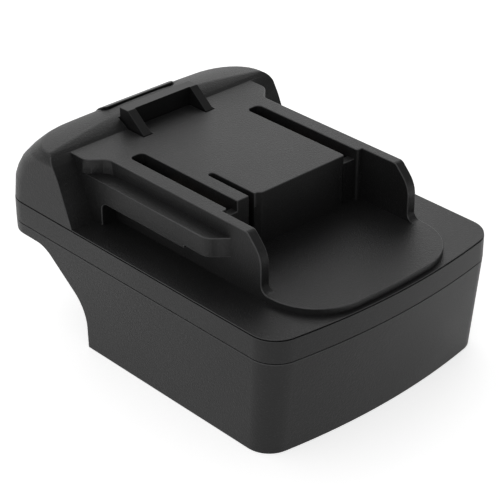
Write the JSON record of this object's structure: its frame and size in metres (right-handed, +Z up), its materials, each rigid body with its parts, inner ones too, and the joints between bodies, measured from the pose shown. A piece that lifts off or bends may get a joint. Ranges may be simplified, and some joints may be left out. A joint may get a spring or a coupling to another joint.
{
  "type": "tool battery adapter",
  "caption": "Moulded adapter that slides onto a cordless tool by its rails, takes a battery pack in the socket below, and locks with a sprung thumb latch",
  "frame": {"origin": "middle of the lower rim's plane, under the middle of the body", "axes": "X is the width, +Y points to the rear end with the thumb button, the nose is at -Y, +Z is up"},
  "size_m": [0.082, 0.111, 0.058],
  "materials": {
    "case_black": "fine spark-textured moulding",
    "frame_black": "fine spark-textured moulding",
    "latch_black": "smooth satin moulding",
    "block_black": "plain moulding",
    "spring_steel": "drawn wire and strip",
    "screw_steel": "zinc plated",
    "contact_copper": "stamped copper alloy",
    "blade_brass": "stamped brass",
    "board_green": "solder mask on glass laminate",
    "component_black": "moulded epoxy",
    "capacitor_sleeve": "shrunk sleeve",
    "lead_red": "silicone jacket",
    "lead_black": "silicone jacket",
    "lead_yellow": "silicone jacket"
  },
  "bodies": {
    "housing": {"top_case": "case_black", "middle_frame": "frame_black", "lower_case": "case_black", "latch_spring_left": "spring_steel", "latch_spring_right": "spring_steel", "positive_clip": "contact_copper", "negative_clip": "contact_copper", "positive_clip_clamp": "spring_steel", "negative_clip_clamp": "spring_steel", "data_clip": "contact_copper", "circuit_board": "board_green", "control_chip": "component_black", "power_transistors": "component_black", "board_capacitor": "capacitor_sleeve", "chip_resistors": "component_black", "board_screws": "screw_steel", "terminal_block": "block_black", "positive_blade": "blade_brass", "negative_blade": "blade_brass", "data_blades": "blade_brass", "block_screws": "screw_steel", "positive_lead": "lead_red", "negative_lead": "lead_black", "data_lead": "lead_yellow", "case_screws": "screw_steel"},
    "latch": {"release_latch": "latch_black"}
  },
  "joints": [
    {"name": "latch_slide", "type": "slide", "parent": "housing", "child": "latch", "axis": [0, 0, -1], "range_m": [0, 0.0055], "stiffness_N_per_m": 900, "springref_m": -0.004, "deforming": ["latch_spring_left", "latch_spring_right"]}
  ]
}
